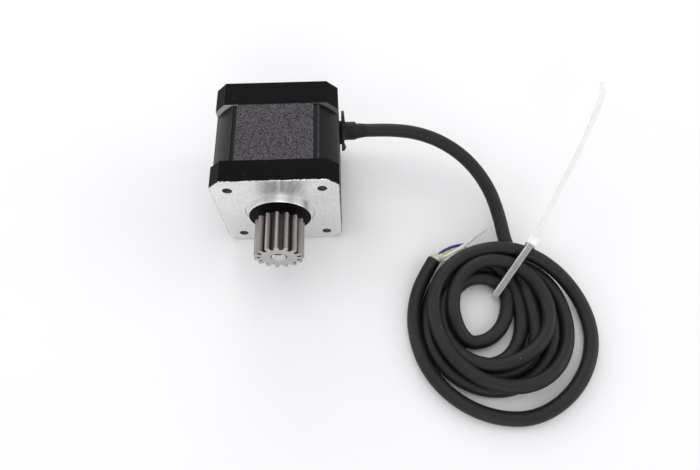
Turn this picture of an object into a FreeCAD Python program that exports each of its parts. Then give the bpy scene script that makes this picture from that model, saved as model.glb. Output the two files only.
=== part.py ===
"""Square hybrid stepper motor with a pinion on its shaft, its cable wound into a tied coil.

Frame: the origin is the centre of the front mounting face, on the shaft axis. The shaft points
along -Y, the cable leaves towards +X, and +Z is up. The motor and the coil rest on the plane
z = -frame_width / 2. Lengths are in millimetres.
"""
import FreeCAD, Part
import math
import os
import re
import Sketcher

Vector = FreeCAD.Vector

SIZES = {
    # square housing, seen from the front
    "frame_width": 42.3,
    "corner_chamfer": 3.75,
    "edge_chamfer": 0.3,
    "hole_spacing": 31.0,
    # stations along the motor, behind the mounting face
    "front_cap_end": 8.0,
    "rear_cap_start": 30.4,
    "body_length": 40.0,
    # pilot boss on the mounting face
    "boss_radius": 11.0,
    "boss_height": 2.0,
    "relief_radius": 12.1,
    "relief_depth": 0.25,
    # cavities of the two caps
    "shaft_hole_radius": 4.0,
    "hub_radius": 10.2,
    "cavity_radius": 17.8,
    "front_cavity_start": 2.6,
    "rear_cavity_end": 37.4,
    "rear_wall_start": 38.25,
    "rear_hole_radius": 3.2,
    # fasteners
    "tapped_radius": 1.25,
    "tapped_depth": 4.5,
    "screw_radius": 1.5,
    "screw_hole_radius": 1.7,
    "screw_start": 4.6,
    "head_radius": 2.75,
    "head_start": 37.8,
    "head_end": 39.6,
    "head_recess_radius": 3.0,
    "cross_width": 0.6,
    "cross_length": 3.0,
    "cross_depth": 1.0,
    # stator laminations
    "stator_corner_radius": 25.5,
    "stator_groove_start": 13.0,
    "stator_groove_end": 14.2,
    "stator_groove_depth": 0.5,
    "back_iron_radius": 16.4,
    "shoe_back_radius": 12.5,
    "stator_bore_radius": 11.1,
    "neck_width": 3.4,
    "slot_opening": 1.1,
    "tooth_gap": 0.69,
    "tooth_depth": 0.5,
    "tooth_pitch_degrees": 7.2,
    # bobbins and windings
    "bobbin_radius": 17.6,
    "bobbin_wall": 2.8,
    "tongue_height": 0.8,
    "lip_inner_radius": 12.0,
    "lip_outer_radius": 12.7,
    "lip_width": 8.0,
    "winding_inner_radius": 12.8,
    "winding_outer_radius": 15.9,
    "winding_gap": 0.1,
    "winding_thickness": 1.7,
    # terminal board
    "board_start": 33.2,
    "board_thickness": 1.0,
    "board_inner_radius": 10.6,
    "board_outer_radius": 16.2,
    "pin_circle_radius": 14.5,
    "pin_radius": 0.4,
    # rotor
    "shaft_radius": 2.5,
    "shaft_flat_height": 2.0,
    "shaft_flat_length": 14.5,
    "shaft_end_chamfer": 0.3,
    "shaft_rear_end": 38.9,
    "rotor_radius": 11.0,
    "front_cup_start": 9.2,
    "magnet_start": 18.2,
    "magnet_end": 20.2,
    "rear_cup_end": 29.2,
    "magnet_radius": 9.5,
    "spacer_radius": 3.8,
    # ball bearings, 5 x 16 x 5
    "bearing_radius": 8.0,
    "bearing_width": 5.0,
    "front_bearing_start": 1.0,
    "rear_bearing_start": 32.6,
    "inner_race_radius": 3.9,
    "outer_race_radius": 6.7,
    "ball_circle_radius": 5.3,
    "ball_radius": 1.6,
    "ball_clearance": 0.03,
    "cage_inner_radius": 4.9,
    "cage_outer_radius": 5.7,
    "cage_inset": 0.55,
    "shield_seat_radius": 7.05,
    "shield_seat_depth": 0.4,
    "shield_inner_radius": 4.05,
    "shield_thickness": 0.25,
    # wave washer
    "washer_inner_radius": 6.4,
    "washer_outer_radius": 7.8,
    "washer_thickness": 0.25,
    # pinion
    "pinion_front": -17.4,
    "pinion_rear": -4.2,
    "gear_module": 1.0,
    "gear_teeth": 15,
    "pressure_angle": 20.0,
    "bore_chamfer": 0.65,
    # cable gland in a notch of the rear cap
    "gland_station": 33.9,
    "gland_neck_radius": 3.8,
    "gland_inner_end": 17.7,
    "gland_bore_clearance": 0.1,
    "flange_start": 21.9,
    "flange_thickness": 1.1,
    "flange_radius": 7.9,
    "flange_half_width": 5.6,
    "boot_radius": 3.3,
    "boot_taper_start": 27.3,
    "boot_end": 28.6,
    "boot_end_radius": 2.85,
    # cable
    "cable_diameter": 4.9,
    "cable_inner_end": 17.8,
    # coil, as its outline on the table
    "coil_centre_x": 75.9,
    "coil_centre_y": -39.5,
    "coil_half_width": 33.0,
    "coil_half_depth": 32.7,
    "pile_centre_x": 74.9,
    "pile_centre_y": -35.0,
    "pile_half_width": 27.1,
    "pile_half_depth": 27.6,
    "pile_height": 12.2,
    "coil_hole_x": 69.2,
    "coil_hole_y": -31.8,
    "coil_hole_half_width": 7.4,
    "coil_hole_half_depth": 9.2,
    # cable tie
    "strap_width": 2.5,
    "strap_thickness": 1.0,
    "tie_head_length": 3.8,
    "tie_head_width": 3.9,
    "tie_head_height": 3.6,
    # stripped end
    "core_radius": 0.55,
    "inner_lead_radius": 0.45,
}

POLES = 8
GAPS_PER_POLE = 5
ROTOR_TEETH = 50
BALLS = 7
WAVES = 3
PIN_ANGLES = (36, 14, -14, -36)
BEND_SHARE = 0.45  # the part of the shorter run that an arc of a tube takes at each end

doc = FreeCAD.newDocument("StepperMotor")
sheet = doc.addObject("Spreadsheet::Sheet", "Sizes")
for row, (alias, amount) in enumerate(SIZES.items(), 1):
    sheet.set(f"A{row}", alias)
    sheet.set(f"B{row}", str(amount))
    sheet.setAlias(f"B{row}", alias)
doc.recompute()

TABLE = -sheet.frame_width / 2
nodes = []


# ---------------------------------------------------------------- tools for parametric pieces


def formula(text):
    """A formula of the sheet's names, as an expression of the document."""

    def prefixed(word):
        return f"Sizes.{word.group()}" if word.group() in SIZES else word.group()

    return re.sub(r"[a-z_]+", prefixed, text)


def number(owner, text):
    """What a formula of the sheet's names is worth."""
    value = owner.evalExpression(formula(text))
    return float(getattr(value, "Value", value))


def new_body(label):
    body = doc.addObject("PartDesign::Body", label)
    body.Label = label
    nodes.append(body)
    return body


def new_sketch(body, role, name, station="0", turn_degrees=0.0):
    """A sketch on an origin plane of its own body, moved along the plane's normal."""
    plane = next(item for item in body.Origin.OriginFeatures if item.Role == role)
    sketch = body.newObject("Sketcher::SketchObject", name)
    sketch.AttachmentSupport = [(plane, "")]
    sketch.MapMode = "FlatFace"
    turn = FreeCAD.Rotation(Vector(0, 0, 1), turn_degrees)
    sketch.AttachmentOffset = FreeCAD.Placement(Vector(), turn)
    sketch.setExpression("AttachmentOffset.Base.z", formula(station))
    return sketch


def bind(sketch, kind, geometry, point, text):
    """Fix one coordinate of a point, or a radius, to a formula."""
    value = number(sketch, text)
    places = (geometry, value) if point is None else (geometry, point, value)
    index = sketch.addConstraint(Sketcher.Constraint(kind, *places))
    sketch.setExpression(f"Constraints[{index}]", formula(text))


def draw_outline(sketch, corners):
    """A closed outline of straight lines through corners, each a pair of formulas."""
    places = [Vector(number(sketch, across), number(sketch, up), 0) for across, up in corners]
    lines = [
        sketch.addGeometry(Part.LineSegment(place, following))
        for place, following in zip(places, places[1:] + places[:1])
    ]
    for line, following in zip(lines, lines[1:] + lines[:1]):
        sketch.addConstraint(Sketcher.Constraint("Coincident", line, 2, following, 1))
    for line, (across, up) in zip(lines, corners):
        bind(sketch, "DistanceX", line, 1, across)
        bind(sketch, "DistanceY", line, 1, up)


def draw_circle(sketch, radius, across="0", up="0"):
    centre = Vector(number(sketch, across), number(sketch, up), 0)
    circle = sketch.addGeometry(Part.Circle(centre, Vector(0, 0, 1), number(sketch, radius)))
    bind(sketch, "DistanceX", circle, 3, across)
    bind(sketch, "DistanceY", circle, 3, up)
    bind(sketch, "Radius", circle, None, radius)


def draw_box(sketch, left, right, bottom, top):
    draw_outline(sketch, [(left, bottom), (right, bottom), (right, top), (left, top)])


def axial_sketch(body, name, start, turn_degrees=0.0):
    """A sketch across the motor's axis at a station: X runs across and Z runs up."""
    return new_sketch(body, "XZ_Plane", name, f"-({start})", turn_degrees)


def pad(body, sketch, length, name):
    """Material from a cross sketch towards the motor's rear."""
    feature = body.newObject("PartDesign::Pad", name)
    feature.Profile = sketch
    feature.Reversed = True
    feature.setExpression("Length", formula(length))
    return feature


def pocket(body, sketch, length, name):
    """A cut from a cross sketch towards the motor's rear, tested to take material away."""
    doc.recompute()
    before = body.Shape.Volume
    feature = body.newObject("PartDesign::Pocket", name)
    feature.Profile = sketch
    feature.setExpression("Length", formula(length))
    doc.recompute()
    if body.Shape.Volume >= before:
        raise RuntimeError(f"{body.Label}: {name} cuts nothing")
    return feature


def turned(body, profile, name, kind="PartDesign::Revolution"):
    """A turned shape about the motor's axis: corners are (radius, station) formulas."""
    sketch = new_sketch(body, "XY_Plane", f"{name}_profile")
    draw_outline(sketch, profile)
    feature = body.newObject(kind, name)
    feature.Profile = sketch
    feature.ReferenceAxis = (sketch, ["V_Axis"])
    feature.Angle = 360
    return feature


def ring(label, inner, outer, start, end):
    """A plain turned ring as a piece of its own."""
    body = new_body(label)
    turned(body, [(inner, start), (outer, start), (outer, end), (inner, end)], "ring")
    return body


def repeat(body, originals, sketch, count, name):
    """The same features repeated round the motor's axis."""
    feature = body.newObject("PartDesign::PolarPattern", name)
    feature.Originals = originals
    feature.Axis = (sketch, ["N_Axis"])
    feature.Angle = 360
    feature.Occurrences = count
    body.Tip = feature
    return feature


def chamfer(body, base, size, chosen):
    """A chamfer on the edges of a feature that the test chooses."""
    doc.recompute()
    names = [f"Edge{i}" for i, edge in enumerate(base.Shape.Edges, 1) if chosen(edge)]
    feature = body.newObject("PartDesign::Chamfer", f"{base.Name}_chamfer")
    feature.Base = (base, names)
    feature.setExpression("Size", formula(size))
    return feature


def shaped(label, shape):
    """A piece whose shape comes from Part's own functions."""
    piece = doc.addObject("Part::Feature", label)
    piece.Label = label
    piece.Shape = shape
    piece.Placement = FreeCAD.Placement()
    nodes.append(piece)
    return piece


# ---------------------------------------------------------------- tubes along a route


def rounded_path(route):
    """Straight runs joined by tangent arcs, each as large as its two runs allow, and the radii."""
    edges, radii = [], []
    start = route[0]
    for before, corner, after in zip(route, route[1:], route[2:]):
        run_in, run_out = corner - before, after - corner
        half_turn = run_in.getAngle(run_out) / 2
        setback = BEND_SHARE * min(run_in.Length, run_out.Length)
        radius = setback / math.tan(half_turn)
        arc_start = corner - Vector(run_in).normalize() * setback
        arc_end = corner + Vector(run_out).normalize() * setback
        inward = (Vector(run_out).normalize() - Vector(run_in).normalize()).normalize()
        crown = corner + inward * (radius / math.cos(half_turn) - radius)
        edges.append(Part.LineSegment(start, arc_start).toShape())
        edges.append(Part.Arc(arc_start, crown, arc_end).toShape())
        radii.append(radius)
        start = arc_end
    edges.append(Part.LineSegment(start, route[-1]).toShape())
    return Part.Wire(edges), radii


def tube(route, radius):
    """A round tube along a route, with the radii of its bends."""
    path, radii = rounded_path(route)
    section = Part.Wire(Part.makeCircle(radius, route[0], route[1] - route[0]))
    solid = path.makePipeShell([section], True, False)
    expected = math.pi * radius**2 * path.Length
    if abs(solid.Volume - expected) > 0.01 * expected:
        raise RuntimeError(f"tube volume {solid.Volume:.1f} is not section times length {expected:.1f}")
    return solid, radii


def on_table(*place):
    """A place given with its height above the table."""
    return Vector(place[0], place[1], place[2] + TABLE)


# ---------------------------------------------------------------- housing


def cap_outline():
    half, corner = "frame_width / 2", "frame_width / 2 - corner_chamfer"
    return [
        (corner, half),
        (half, corner),
        (half, f"-({corner})"),
        (corner, f"-({half})"),
        (f"-({corner})", f"-({half})"),
        (f"-({half})", f"-({corner})"),
        (f"-({half})", corner),
        (f"-({corner})", half),
    ]


def lies_at(edge, station):
    """Whether an edge lies across the axis at a station, on the cap's outline."""
    outline_reach = sheet.frame_width / 2 - sheet.corner_chamfer
    ends = [vertex.Point for vertex in edge.Vertexes]
    level = all(abs(end.y - station) < 1e-4 for end in ends)
    return level and all(max(abs(end.x), abs(end.z)) > outline_reach for end in ends)


def corner_holes(body, radius, start, length, name):
    sketch = axial_sketch(body, f"{name}_sketch", start)
    for across in ("hole_spacing / 2", "-hole_spacing / 2"):
        for up in ("hole_spacing / 2", "-hole_spacing / 2"):
            draw_circle(sketch, radius, across, up)
    pocket(body, sketch, length, name)


def front_end_cap():
    body = new_body("front_end_cap")
    sketch = axial_sketch(body, "outline", "0")
    draw_outline(sketch, cap_outline())
    blank = pad(body, sketch, "front_cap_end", "blank")
    chamfer(body, blank, "edge_chamfer", lambda edge: lies_at(edge, 0.0))
    boss_edge = "boss_radius - edge_chamfer"
    turned(
        body,
        [
            ("0", "-boss_height"),
            (boss_edge, "-boss_height"),
            ("boss_radius", "edge_chamfer - boss_height"),
            ("boss_radius", "front_cavity_start"),
            ("0", "front_cavity_start"),
        ],
        "pilot_boss",
    )
    turned(
        body,
        [
            ("boss_radius", "0"),
            ("relief_radius", "0"),
            ("relief_radius - relief_depth", "relief_depth"),
            ("boss_radius", "relief_depth"),
        ],
        "boss_relief",
        "PartDesign::Groove",
    )
    bearing_end = "front_bearing_start + bearing_width + 0.2"
    turned(
        body,
        [
            ("0", "-boss_height"),
            ("shaft_hole_radius", "-boss_height"),
            ("shaft_hole_radius", "front_bearing_start"),
            ("bearing_radius", "front_bearing_start"),
            ("bearing_radius", bearing_end),
            ("hub_radius", bearing_end),
            ("hub_radius", "front_cavity_start"),
            ("cavity_radius", "front_cavity_start"),
            ("cavity_radius", "front_cap_end"),
            ("0", "front_cap_end"),
        ],
        "inside",
        "PartDesign::Groove",
    )
    corner_holes(body, "tapped_radius", "0", "tapped_depth", "tapped_holes")
    corner_holes(body, "screw_radius", "tapped_depth", "front_cap_end - tapped_depth", "screw_holes")


def rear_end_cap():
    body = new_body("rear_end_cap")
    sketch = axial_sketch(body, "outline", "rear_cap_start")
    draw_outline(sketch, cap_outline())
    blank = pad(body, sketch, "body_length - rear_cap_start", "blank")
    chamfer(body, blank, "edge_chamfer", lambda edge: lies_at(edge, sheet.body_length))
    turned(
        body,
        [
            ("0", "rear_cap_start"),
            ("cavity_radius", "rear_cap_start"),
            ("cavity_radius", "rear_cavity_end"),
            ("hub_radius", "rear_cavity_end"),
            ("hub_radius", "rear_bearing_start - 0.2"),
            ("bearing_radius", "rear_bearing_start - 0.2"),
            ("bearing_radius", "rear_wall_start"),
            ("rear_hole_radius", "rear_wall_start"),
            ("rear_hole_radius", "body_length"),
            ("0", "body_length"),
        ],
        "inside",
        "PartDesign::Groove",
    )
    corner_holes(body, "screw_hole_radius", "rear_cap_start", "head_start - rear_cap_start", "screw_holes")
    corner_holes(body, "head_recess_radius", "head_start", "body_length - head_start", "head_recesses")
    notch_round = new_sketch(body, "YZ_Plane", "notch_round_sketch", "frame_width / 2")
    draw_circle(notch_round, "gland_neck_radius", "gland_station")
    pocket(body, notch_round, "frame_width / 2 - bobbin_radius", "notch_round")
    notch_mouth = new_sketch(body, "YZ_Plane", "notch_mouth_sketch", "frame_width / 2")
    draw_box(notch_mouth, "rear_cap_start", "gland_station", "-gland_neck_radius", "gland_neck_radius")
    pocket(body, notch_mouth, "frame_width / 2 - bobbin_radius", "notch_mouth")


def stator_side(quarter):
    """One flat of the laminations with its two edge grooves, turned by quarters."""
    flat, floor = "frame_width / 2", "frame_width / 2 - stator_groove_depth"
    start, end = "stator_groove_start", "stator_groove_end"
    side = [
        (f"-({flat})", flat),
        (f"-{end}", flat),
        (f"-{end}", floor),
        (f"-{start}", floor),
        (f"-{start}", flat),
        (start, flat),
        (start, floor),
        (end, floor),
        (end, flat),
    ]
    for _ in range(quarter):
        side = [(up, f"-({across})") for across, up in side]
    return side


def stator_stack():
    body = new_body("stator_stack")
    length = "rear_cap_start - front_cap_end"
    blank = axial_sketch(body, "blank_sketch", "front_cap_end")
    draw_circle(blank, "stator_corner_radius")
    draw_circle(blank, "back_iron_radius")
    pad(body, blank, length, "blank")
    flats = axial_sketch(body, "flats_sketch", "front_cap_end")
    draw_circle(flats, "stator_corner_radius + frame_width / 2")
    draw_outline(flats, [corner for quarter in range(4) for corner in stator_side(quarter)])
    pocket(body, flats, length, "flats")
    shoes = axial_sketch(body, "shoes_sketch", "front_cap_end")
    draw_circle(shoes, "shoe_back_radius")
    draw_circle(shoes, "stator_bore_radius")
    pad(body, shoes, length, "pole_shoes")
    neck_sketch = axial_sketch(body, "neck_sketch", "front_cap_end")
    middle_of_shoe = "(stator_bore_radius + shoe_back_radius) / 2"
    draw_box(neck_sketch, "-neck_width / 2", "neck_width / 2", middle_of_shoe, "back_iron_radius + 1")
    neck = pad(body, neck_sketch, length, "neck")
    necks = repeat(body, [neck], neck_sketch, POLES, "necks")
    corner_holes(body, "screw_hole_radius", "front_cap_end", length, "screw_holes")
    opening = axial_sketch(body, "slot_sketch", "front_cap_end", 180 / POLES)
    half_slot, slot_top = "slot_opening / 2", "shoe_back_radius + 0.2"
    draw_box(opening, f"-{half_slot}", half_slot, "stator_bore_radius - 1", slot_top)
    cuts = [pocket(body, opening, length, "slot_opening")]
    for gap in range(GAPS_PER_POLE):
        turn = (gap - (GAPS_PER_POLE - 1) / 2) * sheet.tooth_pitch_degrees
        gap_sketch = axial_sketch(body, f"gap_sketch_{gap}", "front_cap_end", turn)
        gap_floor = "stator_bore_radius + tooth_depth"
        draw_box(gap_sketch, "-tooth_gap / 2", "tooth_gap / 2", "stator_bore_radius - 1", gap_floor)
        cuts.append(pocket(body, gap_sketch, length, f"tooth_gap_{gap}"))
    repeat(body, cuts, necks.Axis[0], POLES, "slots_and_gaps")


def bobbin(label, face, outward):
    """A moulded insulator on one face of the laminations; outward is "-" to the front, "+" to the rear."""

    def layer(name, height, draw):
        start = face if outward == "+" else f"{face} - {height}"
        sketch = axial_sketch(body, f"{name}_sketch", start)
        draw(sketch)
        return sketch, pad(body, sketch, height, name)

    def draw_wall(sketch):
        draw_circle(sketch, "bobbin_radius")
        draw_circle(sketch, "back_iron_radius")

    body = new_body(label)
    tongue_end = "back_iron_radius + 0.5"
    layer("wall", "bobbin_wall", draw_wall)
    tongue_sketch, tongue = layer(
        "tongue",
        "tongue_height",
        lambda s: draw_box(s, "-neck_width / 2", "neck_width / 2", "lip_inner_radius", tongue_end),
    )
    _, lip = layer(
        "lip",
        "bobbin_wall",
        lambda s: draw_box(s, "-lip_width / 2", "lip_width / 2", "lip_inner_radius", "lip_outer_radius"),
    )
    repeat(body, [tongue, lip], tongue_sketch, POLES, "tongues")


def windings(label, first_pole):
    """Four coils of one phase, on every second pole."""
    body = new_body(label)
    turn = first_pole * 360 / POLES
    sketch = new_sketch(body, "XY_Plane", "turns_sketch", "winding_inner_radius")
    inner = "neck_width / 2 + winding_gap"
    outer = f"{inner} + winding_thickness"
    front, rear = "front_cap_end - tongue_height", "rear_cap_start + tongue_height"
    draw_box(sketch, f"-({outer})", outer, f"{front} - winding_thickness", f"{rear} + winding_thickness")
    draw_box(sketch, f"-({inner})", inner, f"{front} - winding_gap", f"{rear} + winding_gap")
    coil = body.newObject("PartDesign::Pad", "winding")
    coil.Profile = sketch
    coil.setExpression("Length", formula("winding_outer_radius - winding_inner_radius"))
    doc.recompute()
    long_corners = [
        f"Edge{i}"
        for i, edge in enumerate(coil.Shape.Edges, 1)
        if abs(edge.Vertexes[0].Z - edge.Vertexes[1].Z) > 1 and abs(edge.Vertexes[0].X) > sheet.neck_width
    ]
    rounding = body.newObject("PartDesign::Fillet", "winding_corners")
    rounding.Base = (coil, long_corners)
    rounding.setExpression("Radius", formula("winding_thickness * 0.8"))
    axis = axial_sketch(body, "axis_sketch", "0")
    draw_circle(axis, "neck_width")
    repeat(body, [coil, rounding], axis, POLES // 2, "phase")
    body.Placement = FreeCAD.Placement(Vector(), FreeCAD.Rotation(Vector(0, 1, 0), turn))


def terminal_board():
    board_end = "board_start + board_thickness"
    body = ring("terminal_board", "board_inner_radius", "board_outer_radius", "board_start", board_end)
    holes = axial_sketch(body, "pin_holes_sketch", "board_start")
    for angle in PIN_ANGLES:
        across, up = f"pin_circle_radius * cos({angle})", f"pin_circle_radius * sin({angle})"
        draw_circle(holes, "pin_radius", across, up)
    pocket(body, holes, "board_thickness", "pin_holes")


def case_screws():
    """Four long screws from the rear, with cross recesses, held in the front cap's corner threads."""
    body = new_body("case_screws")
    place = "hole_spacing / 2"
    shank_sketch = axial_sketch(body, "shank_sketch", "screw_start")
    draw_circle(shank_sketch, "screw_radius", place, place)
    shank = pad(body, shank_sketch, "head_start - screw_start", "shank")
    head_sketch = axial_sketch(body, "head_sketch", "head_start")
    draw_circle(head_sketch, "head_radius", place, place)
    head = pad(body, head_sketch, "head_end - head_start", "head")
    features = [shank, head]
    half_width, half_length = "cross_width / 2", "cross_length / 2"
    cuts = (("level_cut", half_length, half_width), ("upright_cut", half_width, half_length))
    for name, across, up in cuts:
        cut_sketch = axial_sketch(body, f"{name}_sketch", "head_end - cross_depth")
        left, right = f"{place} - {across}", f"{place} + {across}"
        draw_box(cut_sketch, left, right, f"{place} - {up}", f"{place} + {up}")
        features.append(pocket(body, cut_sketch, "cross_depth", name))
    repeat(body, features, shank_sketch, 4, "four_screws")


# ---------------------------------------------------------------- bearings


def bearing(prefix, start):
    """A shielded deep-groove ball bearing whose pieces are separate."""

    def raceway(body):
        sketch = new_sketch(body, "XY_Plane", "raceway_profile")
        middle = f"{start} + bearing_width / 2"
        draw_circle(sketch, "ball_radius + ball_clearance", "ball_circle_radius", middle)
        groove = body.newObject("PartDesign::Groove", "raceway")
        groove.Profile = sketch
        groove.ReferenceAxis = (sketch, ["V_Axis"])
        groove.Angle = 360

    end = f"{start} + bearing_width"
    raceway(ring(f"{prefix}_bearing_inner_ring", "shaft_radius", "inner_race_radius", start, end))
    outer = new_body(f"{prefix}_bearing_outer_ring")
    turned(
        outer,
        [
            ("shield_seat_radius", start),
            ("bearing_radius", start),
            ("bearing_radius", end),
            ("shield_seat_radius", end),
            ("shield_seat_radius", f"{end} - shield_seat_depth"),
            ("outer_race_radius", f"{end} - shield_seat_depth"),
            ("outer_race_radius", f"{start} + shield_seat_depth"),
            ("shield_seat_radius", f"{start} + shield_seat_depth"),
        ],
        "ring",
    )
    raceway(outer)
    shields = new_body(f"{prefix}_bearing_shields")
    for name, station in (
        ("front_shield", f"{start} + shield_seat_depth - shield_thickness"),
        ("rear_shield", f"{end} - shield_seat_depth"),
    ):
        sketch = axial_sketch(shields, f"{name}_sketch", station)
        draw_circle(sketch, "shield_seat_radius")
        draw_circle(sketch, "shield_inner_radius")
        pad(shields, sketch, "shield_thickness", name)
    cage_and_balls(prefix, number(sheet, start))


def cage_and_balls(prefix, start):
    """The balls of one bearing, and the ring with a pocket for each of them."""
    middle = start + sheet.bearing_width / 2
    turns = [math.radians(360 * ball / BALLS) for ball in range(BALLS)]
    reach = sheet.ball_circle_radius
    places = [Vector(reach * math.sin(turn), middle, reach * math.cos(turn)) for turn in turns]
    balls = Part.makeCompound([Part.makeSphere(sheet.ball_radius, place) for place in places])
    width = sheet.bearing_width - 2 * sheet.cage_inset
    foot, along = Vector(0, start + sheet.cage_inset, 0), Vector(0, 1, 0)
    band = Part.makeCylinder(sheet.cage_outer_radius, width, foot, along)
    band = band.cut(Part.makeCylinder(sheet.cage_inner_radius, width, foot, along))
    shaped(f"{prefix}_bearing_cage", band.cut(balls))
    shaped(f"{prefix}_bearing_balls", balls)


def wave_washer():
    """A springy ring with three waves, between the rear bearing and the rear wall."""

    def wavy_edge(radius):
        steps = 12 * WAVES
        turns = [2 * math.pi * step / steps for step in range(steps)]
        places = [
            Vector(radius * math.cos(turn), middle + swing * math.cos(WAVES * turn), radius * math.sin(turn))
            for turn in turns
        ]
        curve = Part.BSplineCurve()
        curve.interpolate(Points=places, PeriodicFlag=True)
        return curve.toShape()

    front = sheet.rear_bearing_start + sheet.bearing_width
    free_height = sheet.rear_wall_start - front
    swing = (free_height - sheet.washer_thickness) / 2 - 0.02
    middle = front + (free_height - sheet.washer_thickness) / 2
    face = Part.makeRuledSurface(wavy_edge(sheet.washer_inner_radius), wavy_edge(sheet.washer_outer_radius))
    shaped("wave_washer", face.extrude(Vector(0, sheet.washer_thickness, 0)))


# ---------------------------------------------------------------- rotor


def rotor_shaft():
    body = new_body("rotor_shaft")
    cut_radius = "shaft_radius - shaft_end_chamfer"
    turned(
        body,
        [
            ("0", "pinion_front"),
            (cut_radius, "pinion_front"),
            ("shaft_radius", "pinion_front + shaft_end_chamfer"),
            ("shaft_radius", "shaft_rear_end - shaft_end_chamfer"),
            (cut_radius, "shaft_rear_end"),
            ("0", "shaft_rear_end"),
        ],
        "round_bar",
    )
    flat = axial_sketch(body, "flat_sketch", "pinion_front")
    draw_box(flat, "-shaft_radius", "shaft_radius", "shaft_flat_height", "shaft_radius + 1")
    pocket(body, flat, "shaft_flat_length", "drive_flat")


def rotor_cup(label, start, end, turn_degrees):
    body = new_body(label)
    sketch = axial_sketch(body, "cup_sketch", start)
    draw_circle(sketch, "rotor_radius")
    draw_circle(sketch, "shaft_radius")
    pad(body, sketch, f"{end} - ({start})", "cup")
    gap_sketch = axial_sketch(body, "gap_sketch", start, turn_degrees)
    draw_box(gap_sketch, "-tooth_gap / 2", "tooth_gap / 2", "rotor_radius - tooth_depth", "rotor_radius + 1")
    gap = pocket(body, gap_sketch, f"{end} - ({start})", "tooth_gap")
    repeat(body, [gap], gap_sketch, ROTOR_TEETH, "teeth")


def involute(base_radius, reach_radius, turn, side, steps=6):
    """Places on one flank of a tooth, from the base circle out to the tip."""
    places = []
    for step in range(steps + 1):
        radius = base_radius + (reach_radius - base_radius) * (step / steps) ** 2
        roll = math.sqrt((radius / base_radius) ** 2 - 1)
        angle = turn + side * (roll - math.atan(roll))
        places.append(Vector(radius * math.sin(angle), sheet.pinion_front, radius * math.cos(angle)))
    return places


def pinion():
    """A spur gear with involute teeth, bored for the shaft and chamfered at the bore's mouth."""
    teeth = int(sheet.gear_teeth)
    pitch_radius = sheet.gear_module * teeth / 2
    tip_radius = pitch_radius + sheet.gear_module
    root_radius = pitch_radius - 1.25 * sheet.gear_module
    pressure = math.radians(sheet.pressure_angle)
    base_radius = pitch_radius * math.cos(pressure)
    half_tooth = math.pi / (2 * teeth) + math.tan(pressure) - pressure
    front = sheet.pinion_front

    def at(radius, turn):
        return Vector(radius * math.sin(turn), front, radius * math.cos(turn))

    edges = []
    for tooth in range(teeth):
        middle = 2 * math.pi * tooth / teeth
        following = middle + 2 * math.pi / teeth
        rising = involute(base_radius, tip_radius, middle - half_tooth, 1)
        falling = involute(base_radius, tip_radius, middle + half_tooth, -1)[::-1]
        root_in, root_out = at(root_radius, middle - half_tooth), at(root_radius, middle + half_tooth)
        next_root = at(root_radius, following - half_tooth)
        for flank in (rising, falling):
            curve = Part.BSplineCurve()
            curve.interpolate(flank)
            edges.append(curve.toShape())
        edges.append(Part.LineSegment(root_in, rising[0]).toShape())
        edges.append(Part.Arc(rising[-1], at(tip_radius, middle), falling[0]).toShape())
        edges.append(Part.LineSegment(falling[-1], root_out).toShape())
        valley = at(root_radius, (middle + following) / 2)
        edges.append(Part.Arc(root_out, valley, next_root).toShape())
    outline = Part.Wire(Part.__sortEdges__(edges))
    length, along = sheet.pinion_rear - front, Vector(0, 1, 0)
    gear = Part.Face(outline).extrude(along * length)
    gear = gear.cut(Part.makeCylinder(sheet.shaft_radius, length, Vector(0, front, 0), along))
    wide = sheet.shaft_radius + sheet.bore_chamfer
    mouth = Part.makeCone(wide, sheet.shaft_radius, sheet.bore_chamfer, Vector(0, front, 0), along)
    shaped("pinion", gear.cut(mouth))


# ---------------------------------------------------------------- cable and what is on it


def cable_gland():
    """The moulded strain relief: a neck in the cap's notch, a flange plate and a short boot."""
    station = sheet.gland_station
    along = Vector(1, 0, 0)

    def disc(radius, start, end):
        return Part.makeCylinder(radius, end - start, Vector(start, station, 0), along)

    flange_end = sheet.flange_start + sheet.flange_thickness
    plate = disc(sheet.flange_radius, sheet.flange_start, flange_end)
    strip = Part.makeBox(
        sheet.flange_thickness,
        2 * sheet.flange_half_width,
        2 * sheet.flange_radius,
        Vector(sheet.flange_start, station - sheet.flange_half_width, -sheet.flange_radius),
    )

    def notch_filling(height):
        return Part.makeBox(
            sheet.flange_start - sheet.gland_inner_end,
            height,
            2 * sheet.gland_neck_radius,
            Vector(sheet.gland_inner_end, sheet.rear_cap_start, -sheet.gland_neck_radius),
        )

    neck = disc(sheet.gland_neck_radius, sheet.gland_inner_end, sheet.flange_start)
    neck = neck.common(notch_filling(3 * sheet.gland_neck_radius))
    neck_foot = notch_filling(station - sheet.rear_cap_start)
    boot = disc(sheet.boot_radius, flange_end, sheet.boot_taper_start)
    taper = Part.makeCone(
        sheet.boot_radius,
        sheet.boot_end_radius,
        sheet.boot_end - sheet.boot_taper_start,
        Vector(sheet.boot_taper_start, station, 0),
        along,
    )
    gland = plate.common(strip).multiFuse([neck, neck_foot, boot, taper]).removeSplitter()
    bore_radius = sheet.cable_diameter / 2 + sheet.gland_bore_clearance
    shaped("cable_gland", gland.cut(disc(bore_radius, sheet.gland_inner_end, sheet.boot_end)))


def cable_route():
    """The cable from inside the gland to where the coil takes it in, with heights above the table."""
    station = sheet.gland_station
    centre = -TABLE
    return [
        on_table(sheet.cable_inner_end, station, centre),
        on_table(30.0, station, centre),
        on_table(40.5, 33.9, 21.1),
        on_table(50.5, 32.8, 20.4),
        on_table(60.4, 29.3, 18.6),
        on_table(69.7, 22.9, 15.4),
        on_table(76.8, 13.8, 11.0),
        on_table(80.3, 3.8, 6.8),
        on_table(81.8, -7.6, 4.2),
    ]


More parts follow.
